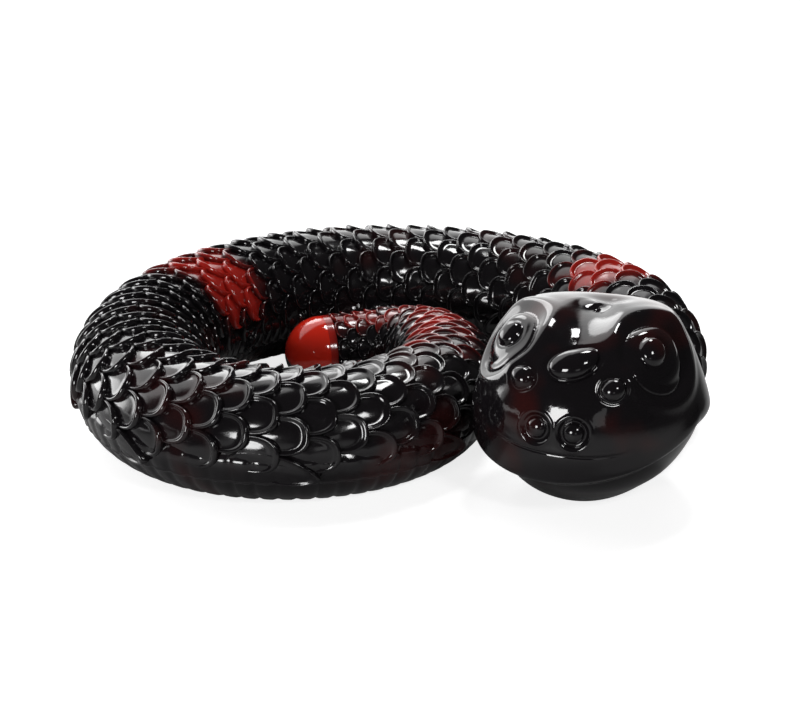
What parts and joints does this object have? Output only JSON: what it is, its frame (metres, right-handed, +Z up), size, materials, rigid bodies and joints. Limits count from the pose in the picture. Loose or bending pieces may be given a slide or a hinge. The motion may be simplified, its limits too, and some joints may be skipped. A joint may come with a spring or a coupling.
{
  "type": "squeeze snake toy",
  "caption": "Soft squeeze snake lying coiled: a scaled rubber skin with a bulbous head, a loose filling and a plugged tail; the body uncoils straight.",
  "frame": {"origin": "on the floor under the middle of the coil, measured over the whole toy at rest", "axes": "+Z up from the floor; +X to the right and +Y away from someone looking at the face of the coil from the head side"},
  "size_m": [0.1501, 0.1442, 0.0427],
  "materials": {
    "skin_black": "gloss",
    "skin_red": "gloss",
    "plug_red": "gloss",
    "filling": "granular"
  },
  "bodies": {
    "tail_1": {"tail_plug": "plug_red", "skin_tail_1": "skin_red", "filling_tail_1": "filling"},
    "tail_bend_1": {"skin_tail_bend_1": "skin_black", "filling_tail_bend_1": "filling"},
    "tail_bend_2": {"skin_tail_bend_2": "skin_black", "filling_tail_bend_2": "filling"},
    "tail_bend_3": {"skin_tail_bend_3": "skin_black", "filling_tail_bend_3": "filling"},
    "front_1": {"skin_front_1": "skin_black", "filling_front_1": "filling"},
    "front_2": {"skin_front_2": "skin_black", "filling_front_2": "filling"},
    "left_1": {"skin_left_1": "skin_black", "filling_left_1": "filling"},
    "left_2": {"skin_left_2": "skin_black", "filling_left_2": "filling"},
    "left_3": {"skin_left_3": "skin_black", "filling_left_3": "filling"},
    "left_4": {"skin_left_4": "skin_black", "filling_left_4": "filling"},
    "left_5": {"skin_left_5": "skin_black", "filling_left_5": "filling"},
    "left_6": {"skin_left_6": "skin_black", "filling_left_6": "filling"},
    "back_1": {"skin_back_1": "skin_black", "filling_back_1": "filling"},
    "back_2": {"skin_back_2": "skin_black", "filling_back_2": "filling"},
    "back_3": {"skin_back_3": "skin_red", "filling_back_3": "filling"},
    "back_4": {"skin_back_4": "skin_black", "filling_back_4": "filling"},
    "back_5": {"skin_back_5": "skin_black", "filling_back_5": "filling"},
    "right_1": {"skin_right_1": "skin_black", "filling_right_1": "filling"},
    "right_2": {"skin_right_2": "skin_black", "filling_right_2": "filling"},
    "right_3": {"skin_right_3": "skin_black", "filling_right_3": "filling"},
    "right_4": {"skin_right_4": "skin_red", "filling_right_4": "filling"},
    "neck_bend_1": {"skin_neck_bend_1": "skin_black", "filling_neck_bend_1": "filling"},
    "neck_bend_2": {"skin_neck_bend_2": "skin_black", "filling_neck_bend_2": "filling"},
    "neck_1": {"skin_neck_1": "skin_black", "filling_neck_1": "filling"},
    "neck_2": {"skin_neck_2": "skin_black", "filling_neck_2": "filling"},
    "head": {"head_skin": "skin_black", "head_filling": "filling"}
  },
  "joints": [
    {"name": "tail_lift", "type": "hinge", "parent": "tail_bend_1", "child": "tail_1", "pos_m": [-0.00803, 0.02433, 0.00847], "axis": [-0.1016, 0.9948, 0], "range_deg": [0, 30]},
    {"name": "bend_tail_bend_2", "type": "hinge", "parent": "tail_bend_2", "child": "tail_bend_1", "pos_m": [-0.00019, 0.02746, 0.00911], "axis": [0, 0, -1], "range_deg": [0, 26.67]},
    {"name": "bend_tail_bend_3", "type": "hinge", "parent": "tail_bend_3", "child": "tail_bend_2", "pos_m": [0.00748, 0.02357, 0.00976], "axis": [0, 0, -1], "range_deg": [0, 26.67]},
    {"name": "bend_front_1", "type": "hinge", "parent": "front_1", "child": "tail_bend_3", "pos_m": [0.01262, 0.01662, 0.0104], "axis": [0, 0, -1], "range_deg": [0, 24.83]},
    {"name": "bend_front_2", "type": "hinge", "parent": "front_2", "child": "front_1", "pos_m": [0.01722, -0.00653, 0.01174], "axis": [0, 0, -1], "range_deg": [0, 23]},
    {"name": "bend_left_1", "type": "hinge", "parent": "left_1", "child": "front_2", "pos_m": [0.01237, -0.02975, 0.01307], "axis": [0, 0, -1], "range_deg": [0, 22.67]},
    {"name": "bend_left_2", "type": "hinge", "parent": "left_2", "child": "left_1", "pos_m": [0.00358, -0.04216, 0.0133], "axis": [0, 0, -1], "range_deg": [0, 22.33]},
    {"name": "bend_left_3", "type": "hinge", "parent": "left_3", "child": "left_2", "pos_m": [-0.00929, -0.0503, 0.01353], "axis": [0, 0, -1], "range_deg": [0, 22.33]},
    {"name": "bend_left_4", "type": "hinge", "parent": "left_4", "child": "left_3", "pos_m": [-0.02432, -0.05294, 0.01376], "axis": [0, 0, -1], "range_deg": [0, 22.33]},
    {"name": "uncoil", "type": "hinge", "parent": "left_4", "child": "left_5", "pos_m": [-0.03926, -0.04967, 0.01399], "axis": [0, 0, 1], "range_deg": [0, 22.33]},
    {"name": "bend_left_6", "type": "hinge", "parent": "left_5", "child": "left_6", "pos_m": [-0.05186, -0.04095, 0.01422], "axis": [0, 0, 1], "range_deg": [0, 22.33]},
    {"name": "bend_back_1", "type": "hinge", "parent": "left_6", "child": "back_1", "pos_m": [-0.0602, -0.02812, 0.01445], "axis": [0, 0, 1], "range_deg": [0, 21.17]},
    {"name": "bend_back_2", "type": "hinge", "parent": "back_1", "child": "back_2", "pos_m": [-0.06482, -0.00553, 0.01447], "axis": [0, 0, 1], "range_deg": [0, 20]},
    {"name": "bend_back_3", "type": "hinge", "parent": "back_2", "child": "back_3", "pos_m": [-0.06142, 0.01722, 0.01449], "axis": [0, 0, 1], "range_deg": [0, 20]},
    {"name": "bend_back_4", "type": "hinge", "parent": "back_3", "child": "back_4", "pos_m": [-0.05045, 0.03744, 0.01451], "axis": [0, 0, 1], "range_deg": [0, 20]},
    {"name": "bend_back_5", "type": "hinge", "parent": "back_4", "child": "back_5", "pos_m": [-0.03322, 0.0527, 0.01453], "axis": [0, 0, 1], "range_deg": [0, 20]},
    {"name": "bend_right_1", "type": "hinge", "parent": "back_5", "child": "right_1", "pos_m": [-0.01183, 0.06113, 0.01455], "axis": [0, 0, 1], "range_deg": [0, 19.63]},
    {"name": "bend_right_2", "type": "hinge", "parent": "right_1", "child": "right_2", "pos_m": [0.01042, 0.06183, 0.01445], "axis": [0, 0, 1], "range_deg": [0, 19.25]},
    {"name": "bend_right_3", "type": "hinge", "parent": "right_2", "child": "right_3", "pos_m": [0.03163, 0.05516, 0.01436], "axis": [0, 0, 1], "range_deg": [0, 19.25]},
    {"name": "bend_right_4", "type": "hinge", "parent": "right_3", "child": "right_4", "pos_m": [0.04945, 0.04187, 0.01427], "axis": [0, 0, 1], "range_deg": [0, 19.25]},
    {"name": "bend_neck_bend_1", "type": "hinge", "parent": "right_4", "child": "neck_bend_1", "pos_m": [0.06193, 0.02336, 0.01418], "axis": [0, 0, 1], "range_deg": [0, 21.63]},
    {"name": "bend_neck_bend_2", "type": "hinge", "parent": "neck_bend_1", "child": "neck_bend_2", "pos_m": [0.06578, 0.00431, 0.01326], "axis": [0, 0, 1], "range_deg": [0, 24]},
    {"name": "neck_lift", "type": "hinge", "parent": "neck_bend_2", "child": "neck_1", "pos_m": [0.05727, -0.01276, 0.01234], "axis": [-0.9537, 0.3007, 0], "range_deg": [0, 25]},
    {"name": "head_turn", "type": "hinge", "parent": "neck_1", "child": "neck_2", "pos_m": [0.05448, -0.01918, 0.01215], "axis": [0, 0, 1], "range_deg": [0, 30]},
    {"name": "head_nod", "type": "hinge", "parent": "neck_2", "child": "head", "pos_m": [0.05169, -0.02559, 0.01197], "axis": [-0.9171, 0.3987, 0], "range_deg": [0, 20]}
  ],
  "couplings": [
    {"joint": "bend_tail_bend_2", "follows": "uncoil", "ratio": 1.194},
    {"joint": "bend_tail_bend_3", "follows": "uncoil", "ratio": 1.194},
    {"joint": "bend_front_1", "follows": "uncoil", "ratio": 1.1119},
    {"joint": "bend_front_2", "follows": "uncoil", "ratio": 1.0299},
    {"joint": "bend_left_1", "follows": "uncoil", "ratio": 1.0149},
    {"joint": "bend_left_2", "follows": "uncoil", "ratio": 1},
    {"joint": "bend_left_3", "follows": "uncoil", "ratio": 1},
    {"joint": "bend_left_4", "follows": "uncoil", "ratio": 1},
    {"joint": "bend_left_6", "follows": "uncoil", "ratio": 1},
    {"joint": "bend_back_1", "follows": "uncoil", "ratio": 0.94776},
    {"joint": "bend_back_2", "follows": "uncoil", "ratio": 0.89552},
    {"joint": "bend_back_3", "follows": "uncoil", "ratio": 0.89552},
    {"joint": "bend_back_4", "follows": "uncoil", "ratio": 0.89552},
    {"joint": "bend_back_5", "follows": "uncoil", "ratio": 0.89552},
    {"joint": "bend_right_1", "follows": "uncoil", "ratio": 0.87873},
    {"joint": "bend_right_2", "follows": "uncoil", "ratio": 0.86194},
    {"joint": "bend_right_3", "follows": "uncoil", "ratio": 0.86194},
    {"joint": "bend_right_4", "follows": "uncoil", "ratio": 0.86194},
    {"joint": "bend_neck_bend_1", "follows": "uncoil", "ratio": 0.96828},
    {"joint": "bend_neck_bend_2", "follows": "uncoil", "ratio": 1.0746}
  ]
}
